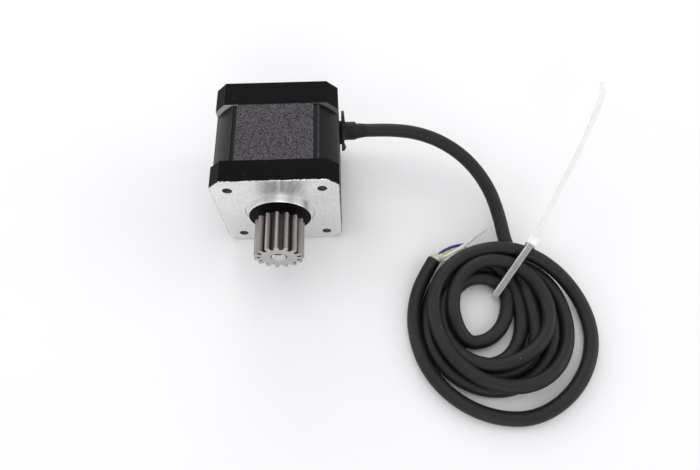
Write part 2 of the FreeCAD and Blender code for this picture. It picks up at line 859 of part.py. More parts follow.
def cable_lead():
    solid, radii = tube(cable_route(), sheet.cable_diameter / 2)
    shaped("cable_lead", solid)
    print("cable_lead bend radii, mm:", " ".join(f"{radius:.1f}" for radius in radii))


def oval(centre_x, centre_y, half_width, half_depth, height):
    """An upright oval column that stands on the table."""
    column = Part.makeCylinder(1.0, height)
    stretch = FreeCAD.Matrix()
    stretch.scale(half_width, half_depth, 1.0)
    column = column.transformGeometry(stretch)
    column.translate(on_table(centre_x, centre_y, 0))
    return column


def cable_coil():
    """The coil's outer shape: a flat oval ring, the piled turns, the hole, and the cable's cut end."""
    flat_ring = oval(
        sheet.coil_centre_x,
        sheet.coil_centre_y,
        sheet.coil_half_width,
        sheet.coil_half_depth,
        sheet.cable_diameter,
    )
    pile = oval(
        sheet.pile_centre_x,
        sheet.pile_centre_y,
        sheet.pile_half_width,
        sheet.pile_half_depth,
        sheet.pile_height,
    )
    hole = oval(
        sheet.coil_hole_x,
        sheet.coil_hole_y,
        sheet.coil_hole_half_width,
        sheet.coil_hole_half_depth,
        sheet.pile_height,
    )
    end_route = [on_table(46.6, -28.0, 3.4), on_table(49.8, -20.0, 4.2), on_table(54.5, -13.0, 5.0)]
    cut_end, _ = tube(end_route, sheet.cable_diameter / 2)
    shaped("cable_coil", flat_ring.multiFuse([pile, cut_end]).cut(hole))


def strap(route, across):
    """A flat strap along a route in an upright plane; across is the strap's direction of width."""
    path, _ = rounded_path(route)
    along = (route[1] - route[0]).normalize()
    thick = along.cross(across).normalize() * (sheet.strap_thickness / 2)
    wide = across * (sheet.strap_width / 2)
    offsets = (thick + wide, thick - wide, -thick - wide, -thick + wide)
    corners = [route[0] + offset for offset in offsets]
    section = Part.makePolygon(corners + corners[:1])
    return path.makePipeShell([section], True, False)


def cable_tie():
    """The nylon tie: a strap round the bundle, a square head outside it, and the free tail."""
    inner, outer = Vector(74.5, -27.9, 0), Vector(89.9, -9.0, 0)
    run = (outer - inner).normalize()
    span = (outer - inner).Length
    across = Vector(-run.y, run.x, 0)
    half = sheet.strap_thickness / 2
    low, high = TABLE + half, TABLE + sheet.pile_height + half
    head_level = TABLE + 9.8

    def at(distance, height):
        return Vector(inner.x, inner.y, height) + run * distance

    loop = [
        at(span, head_level),
        at(span - 0.4, low + 4.0),
        at(span - 3.4, low),
        at(1.0, low),
        at(-1.0, low + 4.0),
        at(0.0, high - 2.0),
        at(4.6, high),
        at(span - 5.4, high),
        at(span - 1.0, head_level + 1.2),
    ]
    band = strap(loop, across)
    head = Part.makeBox(sheet.tie_head_length, sheet.tie_head_width, sheet.tie_head_height)
    head.translate(Vector(-sheet.tie_head_length / 2, -sheet.tie_head_width / 2, -sheet.tie_head_height / 2))
    head.Placement = FreeCAD.Placement(
        at(span, head_level), FreeCAD.Rotation(Vector(0, 0, 1), math.degrees(math.atan2(run.y, run.x)))
    )
    tail_route = [
        at(span, head_level),
        on_table(107.0, 18.0, 14.5),
        on_table(120.5, 43.7, 26.0),
        on_table(120.3, 48.5, 28.4),
    ]
    tail_run = tail_route[1] - tail_route[0]
    tail_across = Vector(-tail_run.y, tail_run.x, 0).normalize()
    tail = strap(tail_route, tail_across)
    shaped("cable_tie", band.multiFuse([head, tail]))


def stripped_end():
    """The four insulated cores that stand out of the cable's cut end."""
    cores = {
        "core_wire_blue": [(53.8, -13.0, 5.6), (58.2, -9.6, 5.8), (62.2, -7.8, 5.6), (66.6, -7.0, 5.0)],
        "core_wire_yellow": [(54.8, -13.7, 5.5), (59.6, -10.4, 5.0), (62.6, -9.2, 4.6), (66.6, -8.8, 4.0)],
        "core_wire_orange": [(55.1, -13.9, 4.2), (60.2, -12.2, 5.0), (63.6, -10.9, 5.4), (67.4, -10.3, 4.8)],
        "core_wire_white": [(53.8, -13.0, 4.3), (58.6, -9.9, 3.6), (62.8, -7.9, 3.4), (67.4, -6.9, 3.0)],
    }
    for label, places in cores.items():
        solid, _ = tube([on_table(*place) for place in places], sheet.core_radius)
        shaped(label, solid)


def inner_leads():
    """The terminal pins, and four thin leads from them to the cable's inner end."""
    pin_start = sheet.board_start - 0.05
    pin_end = sheet.board_start + sheet.board_thickness + 0.8
    pins, leads = [], []
    for angle, up in zip(PIN_ANGLES, (0.9, 0.9, -0.9, -0.9)):
        back = 1.8 if abs(angle) > 20 else 0.8
        x = sheet.pin_circle_radius * math.cos(math.radians(angle))
        z = sheet.pin_circle_radius * math.sin(math.radians(angle))
        foot = Vector(x, pin_start, z)
        pins.append(Part.makeCylinder(sheet.pin_radius, pin_end - pin_start, foot, Vector(0, 1, 0)))
        end = Vector(sheet.cable_inner_end, sheet.gland_station + back, up)
        route = [
            Vector(x, pin_end, z),
            Vector(x + 0.2, pin_end + 1.3, z * 0.95),
            Vector(end.x - 1.2, end.y + 0.1, up * 1.2),
            end,
        ]
        leads.append(tube(route, sheet.inner_lead_radius)[0])
    shaped("terminal_pins", Part.makeCompound(pins))
    shaped("inner_leads", Part.makeCompound(leads))


# ---------------------------------------------------------------- build and write


def check_document():
    """Every object computed, and every piece a valid shape that is not empty."""
    failed = [item.Name for item in doc.Objects if "Invalid" in item.State or "Error" in item.State]
    if failed:
        raise RuntimeError(f"these objects failed: {failed}")
    for piece in nodes:
        if piece.Shape.isNull() or not piece.Shape.isValid() or not piece.Shape.Solids:
            raise RuntimeError(f"{piece.Label} has no valid solid")


def main():
    front_end_cap()
    rear_end_cap()
    stator_stack()
    bobbin("front_bobbin", "front_cap_end", "-")
    bobbin("rear_bobbin", "rear_cap_start", "+")
    windings("phase_a_windings", 0)
    windings("phase_b_windings", 1)
    terminal_board()
    case_screws()
    bearing("front", "front_bearing_start")
    bearing("rear", "rear_bearing_start")
    wave_washer()
    rotor_shaft()
    rotor_cup("rotor_front_cup", "front_cup_start", "magnet_start", 0.0)
    rotor_cup("rotor_rear_cup", "magnet_end", "rear_cup_end", 180 / ROTOR_TEETH)
    ring("rotor_magnet", "shaft_radius", "magnet_radius", "magnet_start", "magnet_end")
    front_bearing_end = "front_bearing_start + bearing_width"
    ring("front_spacer", "shaft_radius", "spacer_radius", front_bearing_end, "front_cup_start")
    ring("rear_spacer", "shaft_radius", "spacer_radius", "rear_cup_end", "rear_bearing_start")
    pinion()
    cable_gland()
    cable_lead()
    cable_coil()
    cable_tie()
    stripped_end()
    inner_leads()
    doc.recompute()
    check_document()
    os.makedirs("parts", exist_ok=True)
    for piece in nodes:
        piece.Shape.exportStep(f"parts/{piece.Label}.step")
    print(len(nodes), "pieces")


main()
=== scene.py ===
"""The stepper motor with its pinion, tied cable coil and stripped cable end, on a pale floor.

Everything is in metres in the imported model's frame: the shaft points along -Y, the cable leaves
towards +X and +Z is up. Lengths in the code are millimetres times MM.
"""
import bpy
import bmesh
import math
import random
from mathutils import Matrix, Vector, noise


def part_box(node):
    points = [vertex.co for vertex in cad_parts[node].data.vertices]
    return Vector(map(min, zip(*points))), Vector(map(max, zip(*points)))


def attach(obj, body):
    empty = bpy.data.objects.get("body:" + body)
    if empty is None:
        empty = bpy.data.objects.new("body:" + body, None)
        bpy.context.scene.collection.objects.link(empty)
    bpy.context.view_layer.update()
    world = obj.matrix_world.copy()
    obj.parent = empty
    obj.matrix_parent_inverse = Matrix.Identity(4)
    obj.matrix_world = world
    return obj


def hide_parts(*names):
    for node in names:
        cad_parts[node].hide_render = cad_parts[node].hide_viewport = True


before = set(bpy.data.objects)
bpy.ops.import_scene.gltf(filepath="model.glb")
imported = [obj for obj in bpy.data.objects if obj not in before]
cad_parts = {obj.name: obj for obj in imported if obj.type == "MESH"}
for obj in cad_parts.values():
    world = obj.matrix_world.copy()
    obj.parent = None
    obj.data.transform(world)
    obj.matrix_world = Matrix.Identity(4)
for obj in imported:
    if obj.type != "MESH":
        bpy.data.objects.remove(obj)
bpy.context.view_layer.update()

MM = 0.001
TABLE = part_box("front_end_cap")[0].z
CABLE_DIAMETER = 4.9 * MM
GLAND_Y = 33.9 * MM
random.seed(11)


def on_table(x, y, height):
    """A place in metres from millimetres, with its height above the table."""
    return Vector((x * MM, y * MM, TABLE + height * MM))


# ---------------------------------------------------------------- camera and light


def make_camera():
    lens, elevation, roll = 29.045, 64.23, -1.55
    data = bpy.data.cameras.new("camera")
    data.lens = lens
    data.sensor_width = 36.0
    data.clip_start = 0.01
    camera = bpy.data.objects.new("camera", data)
    place = Matrix.Translation(on_table(24.12, -93.72, 195.41))
    tilt = Matrix.Rotation(math.radians(90 - elevation), 4, "X")
    camera.matrix_world = place @ tilt @ Matrix.Rotation(math.radians(roll), 4, "Z")
    bpy.context.scene.collection.objects.link(camera)
    bpy.context.scene.camera = camera


def area_light(name, place, target, size, power, colour=(1, 1, 1)):
    data = bpy.data.lights.new(name, "AREA")
    data.shape = "DISK"
    data.size = size
    data.energy = power
    data.color = colour
    light = bpy.data.objects.new(name, data)
    place, target = Vector(place), Vector(target)
    aim = (target - place).to_track_quat("-Z", "Y").to_matrix().to_4x4()
    light.matrix_world = Matrix.Translation(place) @ aim
    bpy.context.scene.collection.objects.link(light)


def make_light():
    middle = (0.05, -0.01, TABLE)
    area_light("key", (-0.05, 0.3, 0.95), middle, 1.0, 1.9, (1.0, 0.99, 0.98))
    area_light("left_fill", (-0.9, 0.15, 0.42), middle, 0.6, 2.2, (0.97, 0.98, 1.0))
    area_light("right_fill", (0.95, 0.0, 0.42), middle, 0.6, 1.8)
    area_light("front_fill", (0.1, -1.0, 0.6), middle, 0.6, 1.9)
    area_light("back_fill", (-0.1, 0.95, 0.42), middle, 0.6, 2.5)
    world = bpy.data.worlds.new("room")
    world.use_nodes = True
    background = world.node_tree.nodes["Background"]
    background.inputs["Color"].default_value = (0.97, 0.98, 1.0, 1)
    background.inputs["Strength"].default_value = 0.71
    bpy.context.scene.world = world
    bpy.context.scene.view_settings.view_transform = "Standard"


# ---------------------------------------------------------------- node materials


class Finish:
    """A material made of nodes, with short ways to add them; places are in millimetres."""

    def __init__(self, name, colour=(0.5, 0.5, 0.5), roughness=0.5, metallic=0.0):
        self.material = bpy.data.materials.new(name)
        self.material.use_nodes = True
        self.tree = self.material.node_tree
        self.surface = self.tree.nodes["Principled BSDF"]
        coordinates = self.add("ShaderNodeTexCoord").outputs["Object"]
        inputs = {0: coordinates, 3: 1 / MM}
        self.place = self.add("ShaderNodeVectorMath", inputs, operation="SCALE").outputs[0]
        parts = self.add("ShaderNodeSeparateXYZ", {0: self.place})
        self.x, self.y, self.z = parts.outputs
        self.heights = []
        self.set("Base Color", (*colour, 1))
        self.set("Roughness", roughness)
        self.set("Metallic", metallic)

    def add(self, kind, inputs=None, **settings):
        node = self.tree.nodes.new(kind)
        for key, value in settings.items():
            setattr(node, key, value)
        for key, value in (inputs or {}).items():
            self.feed(node.inputs[key], value)
        return node

    def feed(self, socket, value):
        if isinstance(value, bpy.types.NodeSocket):
            self.tree.links.new(value, socket)
        else:
            socket.default_value = value

    def set(self, socket, value):
        self.feed(self.surface.inputs[socket], value)

    def math(self, operation, *values):
        return self.add("ShaderNodeMath", dict(enumerate(values)), operation=operation).outputs[0]

    def remap(self, value, low, high, to_low=0.0, to_high=1.0):
        """Value between low and high, carried over to the other range and held inside it."""
        limits = {"From Min": low, "From Max": high, "To Min": to_low, "To Max": to_high}
        return self.add("ShaderNodeMapRange", {"Value": value, **limits}).outputs[0]

    def noise(self, size, detail=3.0, roughness=0.55, stretch=(1, 1, 1)):
        """Noise whose features are about size millimetres wide, narrower along a stretched axis."""
        inputs = {0: self.place, 1: stretch}
        place = self.add("ShaderNodeVectorMath", inputs, operation="MULTIPLY").outputs[0]
        inputs = {"Vector": place, "Scale": 1 / size, "Detail": detail, "Roughness": roughness}
        return self.add("ShaderNodeTexNoise", inputs).outputs[0]

    def noise_along(self, value, size):
        """Noise that changes only with a value, such as an angle in radians."""
        place = self.add("ShaderNodeCombineXYZ", {0: value}).outputs[0]
        inputs = {"Vector": place, "Scale": 1 / size, "Detail": 3.0}
        return self.add("ShaderNodeTexNoise", inputs).outputs[0]

    def cells(self, size):
        """Small cells: the distance from the middle of each, and a random value for each."""
        cells = self.add("ShaderNodeTexVoronoi", {"Vector": self.place, "Scale": 1 / size})
        chance = self.add("ShaderNodeSeparateColor", {0: cells.outputs["Color"]}).outputs[0]
        return cells.outputs["Distance"], chance

    def specks(self, size, share):
        """One inside scattered small dots, zero elsewhere; share is the part of cells that has one."""
        from_middle, chance = self.cells(size)
        near = self.remap(from_middle, 0.12, 0.22, 1.0, 0.0)
        return self.math("MULTIPLY", near, self.math("LESS_THAN", chance, share))

    def mix(self, factor, first, second):
        inputs = {0: factor, 6: first, 7: second}
        return self.add("ShaderNodeMix", inputs, data_type="RGBA").outputs[2]

    def blend(self, factor, first, second):
        return self.add("ShaderNodeMix", {0: factor, 2: first, 3: second}).outputs[0]

    def tint(self, amount, dark, light):
        """A colour between two, by a value."""
        return self.mix(amount, (*dark, 1), (*light, 1))

    def distance(self, across, up):
        """The length of the two legs' diagonal."""
        squares = [self.math("MULTIPLY", leg, leg) for leg in (across, up)]
        return self.math("SQRT", self.math("ADD", *squares))

    def radius(self):
        """The distance from the motor's axis."""
        return self.distance(self.x, self.z)

    def rings(self, value, pitch):
        """Fine grooves that follow a value, such as a radius or a station."""
        return self.math("SINE", self.math("MULTIPLY", value, 2 * math.pi / pitch))

    def facing(self, axis):
        """How far the surface faces along an axis of the object."""
        normal = self.add("ShaderNodeTexCoord").outputs["Normal"]
        return self.add("ShaderNodeSeparateXYZ", {0: normal}).outputs["XYZ".index(axis)]

    def relief(self, height, depth):
        """Adds height times depth millimetres to the bump."""
        self.heights.append((height, depth))

    def done(self, edge=0.0):
        """Joins the bumps, over edges that look rounded by a radius in millimetres."""
        normal = None
        if edge:
            normal = self.add("ShaderNodeBevel", {"Radius": edge * MM}, samples=6).outputs[0]
        for height, depth in self.heights:
            bump = self.add("ShaderNodeBump", {"Height": height, "Distance": depth * MM})
            if normal:
                self.feed(bump.inputs["Normal"], normal)
            normal = bump.outputs[0]
        if normal:
            self.set("Normal", normal)
        return self.material


def painted_metal(name):
    """Matt black paint with an orange-peel surface.

    The front face, the recess round the boss and the tapped holes are bare turned metal.
    """
    f = Finish(name)
    hole_step, hole_radius, mouth_radius, hole_depth, thread_pitch = 15.5, 1.3, 1.62, 9.0, 0.5
    boss_face, recess_radius, recess_depth, step_radius = -1.93, 13.2, 1.5, 12.0
    corner_start, ledge_station = 12.6, 30.4
    worn = f.remap(f.noise(0.35, 5), 0.35, 0.7, -0.22, 0.22)
    front_edge = f.math("LESS_THAN", f.math("ADD", f.y, worn), 0.12)
    not_boss_face = f.math("GREATER_THAN", f.y, boss_face)
    across, up = f.math("ABSOLUTE", f.x), f.math("ABSOLUTE", f.z)
    from_hole = f.distance(f.math("SUBTRACT", across, hole_step), f.math("SUBTRACT", up, hole_step))
    inside = f.math("LESS_THAN", from_hole, hole_radius)
    thread = f.math("MULTIPLY", inside, f.math("LESS_THAN", f.y, hole_depth))
    shaded_mouth = f.math("LESS_THAN", from_hole, mouth_radius)
    in_recess = f.math("LESS_THAN", f.radius(), recess_radius)
    around_boss = f.math("MULTIPLY", in_recess, f.math("LESS_THAN", f.y, recess_depth))
    bare = f.math("MULTIPLY", f.math("MAXIMUM", front_edge, around_boss), not_boss_face)
    bare = f.math("MAXIMUM", bare, thread)
    ray = f.noise_along(f.math("ARCTAN2", f.x, f.z), 0.06)
    # The bare metal's colour varies in fine radial streaks; its lighter and darker streaks are painted
    # reflection streaks, and the same streaks vary its roughness.
    metal = f.tint(f.blend(0.6, f.noise(6.0, 4), ray), (0.73, 0.715, 0.71), (0.98, 0.965, 0.965))
    # A thin ring at the step round the boss is darkened: painted shade along the step's edge.
    from_step = f.math("ABSOLUTE", f.math("SUBTRACT", f.radius(), step_radius))
    step_edge_shade = f.math("LESS_THAN", from_step, 0.14)
    metal = f.mix(f.math("MULTIPLY", step_edge_shade, 0.45), metal, (0.2, 0.2, 0.2, 1))
    # A dark ring round each tapped hole's mouth is painted shade, standing in for the hole's shaded chamfer.
    metal = f.mix(shaded_mouth, metal, (0.015, 0.015, 0.015, 1))
    # Light and dark rings along the tapped holes' walls: painted highlights on the thread crests and painted
    # shade in the roots.
    thread_highlights_and_shade = f.tint(f.rings(f.y, thread_pitch), (0.01, 0.01, 0.01), (0.5, 0.49, 0.48))
    metal = f.mix(thread, metal, thread_highlights_and_shade)
    paint = f.tint(f.noise(3.0, 4), (0.0022, 0.002, 0.0023), (0.005, 0.0045, 0.005))
    paint = f.mix(f.math("MULTIPLY", f.specks(0.9, 0.015), 0.3), paint, (0.3, 0.3, 0.29, 1))
    corner = f.math("GREATER_THAN", f.math("MINIMUM", across, up), corner_start)
    ledge = f.math("LESS_THAN", f.math("ABSOLUTE", f.math("SUBTRACT", f.y, ledge_station)), 0.04)
    # The rear cap's ledge at the corners is lighter bare grey; its fade from light on the left to dark on the
    # right is painted light and shade.
    ledge_grey_shaded_right = f.tint(f.remap(f.x, -14.0, 14.0), (0.42, 0.42, 0.425), (0.15, 0.15, 0.15))
    paint = f.mix(f.math("MULTIPLY", corner, ledge), paint, ledge_grey_shaded_right)
    f.set("Base Color", f.mix(bare, paint, metal))
    f.set("Metallic", bare)
    rough_paint = f.remap(f.noise(1.2), 0.3, 0.7, 0.4, 0.54)
    rough_metal = f.remap(ray, 0.3, 0.7, 0.24, 0.4)
    f.set("Roughness", f.blend(bare, rough_paint, rough_metal))
    f.set("Specular IOR Level", f.blend(bare, 0.05, 0.5))
    f.set("Anisotropic", f.math("MULTIPLY", bare, 0.9))
    f.set("Anisotropic Rotation", 0.25)
    f.set("Tangent", f.add("ShaderNodeTangent", direction_type="RADIAL", axis="Y").outputs[0])
    f.relief(f.noise(0.3, 2), 0.01)
    f.relief(f.math("MULTIPLY", f.rings(f.radius(), 0.16), bare), 0.0012)
    f.relief(f.math("MULTIPLY", f.rings(f.y, thread_pitch), thread), 0.12)
    return f.done(0.15)


def lamination(name):
    """Stacked sheets under rough speckled paint; the corner arcs are smoother and darker."""
    f = Finish(name, roughness=0.6)
    flat_half, groove_middle, groove_half, sheet_pitch = 14.9, 13.6, 0.66, 0.5
    across = f.math("MINIMUM", f.math("ABSOLUTE", f.x), f.math("ABSOLUTE", f.z))
    flat = f.math("LESS_THAN", across, flat_half)
    _, grain = f.cells(0.3)
    speckled = f.tint(f.remap(grain, 0.2, 0.9), (0.01, 0.009, 0.011), (0.104, 0.092, 0.106))
    from_groove = f.math("ABSOLUTE", f.math("SUBTRACT", across, groove_middle))
    in_groove = f.math("LESS_THAN", from_groove, groove_half)
    speckled = f.mix(in_groove, speckled, (0.003, 0.003, 0.003, 1))
    # Past the groove the flat's edge is darkened, nearly fully on the left and by half on the right: painted
    # shade.
    side_shade = f.remap(f.x, -1.0, 1.0, 0.96, 0.5)
    past_groove = f.math("GREATER_THAN", across, groove_middle + groove_half)
    speckled = f.mix(f.math("MULTIPLY", past_groove, side_shade), speckled, (0.01, 0.01, 0.01, 1))
    smooth = f.tint(f.noise(1.5), (0.003, 0.003, 0.003), (0.007, 0.007, 0.0068))
    f.set("Base Color", f.mix(flat, smooth, speckled))
    f.set("Roughness", f.blend(flat, 0.36, 0.6))
    f.set("Specular IOR Level", f.blend(flat, 0.19, 0.26))
    f.relief(f.math("MULTIPLY", f.noise(0.2, 2, 0.7), flat), 0.04)
    f.relief(f.rings(f.y, sheet_pitch), 0.004)
    return f.done(0.08)


def machined_steel(name, colour, roughness, edge=0.1, between_teeth=None, around_shaft=None):
    """Steel with turned rings on its end faces and fine lines along it.

    Grime and painted shade darken it from one radius to the other between a gear's teeth, and
    it is darker inside a radius where a shaft comes through.
    """
    f = Finish(name, metallic=1.0)
    grime_and_shade = (0.02, 0.02, 0.02, 1)
    end_face = f.math("GREATER_THAN", f.math("ABSOLUTE", f.facing("Y")), 0.7)
    along = f.noise(1.1, 4, stretch=(1.6, 0.06, 1.6))
    shade = f.blend(end_face, along, f.noise(0.8, 4))
    light = tuple(min(1.0, part * 1.25) for part in colour)
    dark = tuple(part * 0.72 for part in colour)
    tone = f.tint(f.remap(shade, 0.3, 0.7), dark, light)
    if between_teeth:
        # Towards the roots the flanks darken: grime and painted shade.
        deep = f.remap(f.radius(), *between_teeth, 0.85, 0.0)
        on_flanks = f.math("MULTIPLY", deep, f.math("SUBTRACT", 1.0, end_face))
        tone = f.mix(on_flanks, tone, grime_and_shade)
        # A gear's end faces are lightened: a painted reflection of the bright floor.
        tone = f.mix(f.math("MULTIPLY", end_face, 0.35), tone, (0.8, 0.79, 0.78, 1))
    if around_shaft:
        # Inside the radius round the shaft it is darker.
        near = f.math("LESS_THAN", f.radius(), around_shaft)
        tone = f.mix(f.math("MULTIPLY", near, 0.9), tone, grime_and_shade)
    f.set("Base Color", tone)
    f.set("Roughness", f.remap(f.noise(0.7, 4), 0.3, 0.7, roughness - 0.06, roughness + 0.08))
    f.relief(f.math("MULTIPLY", f.rings(f.radius(), 0.12), end_face), 0.0016)
    f.relief(f.noise(0.25, 3, stretch=(1, 0.08, 1)), 0.006)
    return f.done(edge)


def plastic(name, dark, light, roughness, bump=0.02, size=0.5, edge=0.1, shine=0.5):
    """Moulded plastic or rubber with a faint grain."""
    f = Finish(name)
    f.set("Base Color", f.tint(f.noise(size * 5, 4), dark, light))
    f.set("Roughness", f.remap(f.noise(size * 2), 0.3, 0.7, roughness - 0.06, roughness + 0.06))
    f.set("Specular IOR Level", shine)
    f.relief(f.noise(size, 4), bump)
    return f.done(edge)


def cable_jacket(name):
    """Matt black rubber-like jacket with fine grain, handling marks and a little dust."""
    f = Finish(name)
    base = f.tint(f.noise(6.0, 5), (0.0055, 0.0052, 0.0058), (0.0125, 0.0118, 0.0124))
    dusty = f.math("MULTIPLY", f.specks(1.2, 0.006), 0.35)
    f.set("Base Color", f.mix(dusty, base, (0.5, 0.5, 0.48, 1)))
    f.set("Roughness", f.remap(f.noise(2.0, 4), 0.3, 0.7, 0.44, 0.58))
    f.set("Specular IOR Level", 0.35)
    f.relief(f.noise(0.22, 3), 0.012)
    f.relief(f.noise(3.5, 2), 0.05)
    return f.done()


def nylon(name, clearness):
    """Natural nylon: milky, with light passing through it; the creases between ribs are dark and opaque,
    painted shade.
    """
    f = Finish(name)
    milky = f.tint(f.noise(2.0, 3), (0.95, 0.945, 0.935), (0.99, 0.985, 0.98))
    valley_shade = f.add("ShaderNodeAttribute", attribute_name="rib_valley_shade").outputs["Fac"]
    # In the rib valleys the nylon is painted dark and opaque: painted shade in the creases.
    f.set("Base Color", f.mix(valley_shade, milky, (0.1, 0.1, 0.102, 1)))
    f.set("Transmission Weight", f.blend(valley_shade, clearness, 0.0))
    f.set("IOR", 1.35)
    f.set("Roughness", f.remap(f.noise(0.8), 0.3, 0.7, 0.38, 0.5))
    f.relief(f.noise(0.6), 0.01)
    return f.done()


def wound_copper(name):
    """Enamelled copper wire, turn beside turn along the motor's radius."""
    f = Finish(name, metallic=1.0)
    f.set("Base Color", f.tint(f.noise(1.5, 4), (0.42, 0.14, 0.05), (0.72, 0.30, 0.12)))
    f.set("Roughness", f.remap(f.noise(0.5), 0.3, 0.7, 0.22, 0.34))
    f.relief(f.rings(f.radius(), 0.45), 0.06)
    return f.done()


def fibre(name, dark, light):
    """Cotton, paper or thread: matt, with fibres."""
    f = Finish(name, roughness=0.9)
    f.set("Base Color", f.tint(f.remap(f.noise(0.5, 6, 0.7), 0.3, 0.7), dark, light))
    f.set("Sheen Weight", 0.3)
    f.relief(f.noise(0.15, 5, 0.7, stretch=(1, 0.3, 1)), 0.06)
    return f.done()


MATERIALS = {
    "black_paint": painted_metal("black_paint"),
    "lamination": lamination("lamination"),
    "bright_steel": machined_steel("bright_steel", (0.62, 0.62, 0.61), 0.28),
    "gear_steel": machined_steel(
        "gear_steel", (0.365, 0.338, 0.325), 0.52, between_teeth=(6.2, 8.0), around_shaft=2.72
    ),
    "zinc_steel": machined_steel("zinc_steel", (0.60, 0.59, 0.56), 0.34),
    "bearing_steel": machined_steel("bearing_steel", (0.66, 0.66, 0.66), 0.16, 0.05),
    "rotor_steel": machined_steel("rotor_steel", (0.42, 0.42, 0.43), 0.34, 0.05),
    "magnet": machined_steel("magnet", (0.16, 0.16, 0.17), 0.4),
    "spacer_brass": machined_steel("spacer_brass", (0.75, 0.55, 0.25), 0.25),
    "pin_brass": machined_steel("pin_brass", (0.78, 0.6, 0.3), 0.22, 0.03),
    "white_plastic": plastic("white_plastic", (0.70, 0.69, 0.65), (0.80, 0.79, 0.76), 0.45),
    "cage_plastic": plastic("cage_plastic", (0.55, 0.46, 0.28), (0.66, 0.56, 0.36), 0.4, edge=0.03),
    "copper": wound_copper("copper"),
    "board": plastic("board", (0.02, 0.10, 0.05), (0.035, 0.15, 0.07), 0.35, 0.01),
    "lead_insulation": plastic("lead_insulation", (0.5, 0.05, 0.04), (0.6, 0.07, 0.05), 0.4, 0.01),
    "black_rubber": plastic(
        "black_rubber", (0.007, 0.007, 0.007), (0.013, 0.013, 0.013), 0.55, 0.03, 0.3, shine=0.26
    ),
    "cable_jacket": cable_jacket("cable_jacket"),
    "tie_nylon": nylon("tie_nylon", 0.6),
    "tie_head_nylon": nylon("tie_head_nylon", 0.12),
    "blue_core": plastic("blue_core", (0.008, 0.025, 0.16), (0.012, 0.04, 0.24), 0.38, 0.01, 0.3),
    "yellow_core": plastic("yellow_core", (0.62, 0.58, 0.08), (0.76, 0.72, 0.14), 0.4, 0.01, 0.3),
    "orange_core": plastic("orange_core", (0.42, 0.17, 0.02), (0.55, 0.24, 0.04), 0.4, 0.01, 0.3),
    "white_core": plastic("white_core", (0.74, 0.73, 0.70), (0.84, 0.83, 0.80), 0.4, 0.01, 0.3),
    "filler_cotton": fibre("filler_cotton", (0.76, 0.73, 0.67), (0.95, 0.94, 0.91)),
    "filler_paper": fibre("filler_paper", (0.72, 0.66, 0.58), (0.95, 0.92, 0.87)),
}

NODE_SLOTS = {
    "black_paint": ("front_end_cap", "rear_end_cap"),
    "lamination": ("stator_stack",),
    "bright_steel": ("rotor_shaft",),
    "gear_steel": ("pinion",),
    "zinc_steel": ("case_screws",),
    "bearing_steel": tuple(
        f"{end}_bearing_{piece}"
        for end in ("front", "rear")
        for piece in ("inner_ring", "outer_ring", "shields", "balls")
    )
    + ("wave_washer",),
    "rotor_steel": ("rotor_front_cup", "rotor_rear_cup"),
    "magnet": ("rotor_magnet",),
    "spacer_brass": ("front_spacer", "rear_spacer"),
    "pin_brass": ("terminal_pins",),
    "white_plastic": ("front_bobbin", "rear_bobbin"),
    "cage_plastic": ("front_bearing_cage", "rear_bearing_cage"),
    "copper": ("phase_a_windings", "phase_b_windings"),
    "board": ("terminal_board",),
    "lead_insulation": ("inner_leads",),
    "blue_core": ("core_wire_blue",),
    "yellow_core": ("core_wire_yellow",),
    "orange_core": ("core_wire_orange",),
    "white_core": ("core_wire_white",),
}


def dress(piece, material):
    """Gives a piece one material in place of whatever it has."""
    piece.data.materials.clear()
    piece.data.materials.append(MATERIALS[material])


def dress_nodes():
    for material, names in NODE_SLOTS.items():
        for name in names:
            dress(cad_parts[name], material)


# ---------------------------------------------------------------- making pieces


def finish_piece(piece, material):
    """Links, dresses and hands over a piece; every piece made here is fixed to the motor's housing."""
    bpy.context.scene.collection.objects.link(piece)
    dress(piece, material)
    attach(piece, "housing")
    return piece


def mesh_piece(name, shape, material, smooth_degrees=40):
    """A piece from a bmesh, smooth except over sharp edges."""
    bmesh.ops.recalc_face_normals(shape, faces=shape.faces)
    data = bpy.data.meshes.new(name)
    for face in shape.faces:
        face.smooth = True
    limit = math.radians(smooth_degrees)
    for edge in shape.edges:
        edge.smooth = not edge.is_manifold or edge.calc_face_angle() < limit
    shape.to_mesh(data)
    shape.free()
    return finish_piece(bpy.data.objects.new(name, data), material)


def curve_piece(name, routes, radius, material, resolution=8):
    """Round strands along NURBS splines, closed at their ends; each point holds the strand's radius."""
    data = bpy.data.curves.new(name, "CURVE")
    data.dimensions = "3D"
    data.bevel_depth = 1.0
    data.bevel_resolution = 6
    data.resolution_u = resolution
    data.use_fill_caps = True
    for route in routes:
        spline = data.splines.new("NURBS")
        spline.points.add(len(route) - 1)
        for point, place in zip(spline.points, route):
            point.co = (*place, 1)
            point.radius = radius
        spline.order_u = 3
        spline.use_endpoint_u = True
    return finish_piece(bpy.data.objects.new(name, data), material)


def loft(rings, closed_ends=True):
    """A skin through rings of places that all have the same count."""
    shape = bmesh.new()
    rows = [[shape.verts.new(place) for place in ring] for ring in rings]
    for row, following in zip(rows, rows[1:]):
        count = len(row)
        for i in range(count):
            j = (i + 1) % count
            shape.faces.new((row[i], row[j], following[j], following[i]))
    if closed_ends:
        shape.faces.new(rows[0][::-1])
        shape.faces.new(rows[-1])
    return shape


# ---------------------------------------------------------------- cable


# Routes are places along the cable's middle: x, y and height above the table, in millimetres.
FREE_ROUTE = [
    (17.8, 33.9, 21.15),
    (30.0, 33.9, 21.15),
    (40.5, 33.9, 21.1),
    (50.5, 32.8, 20.4),
    (60.4, 29.3, 18.6),
    (69.7, 22.9, 15.4),
    (76.8, 13.8, 11.0),
    (80.3, 3.8, 6.8),
    (81.8, -7.6, 4.2),
]

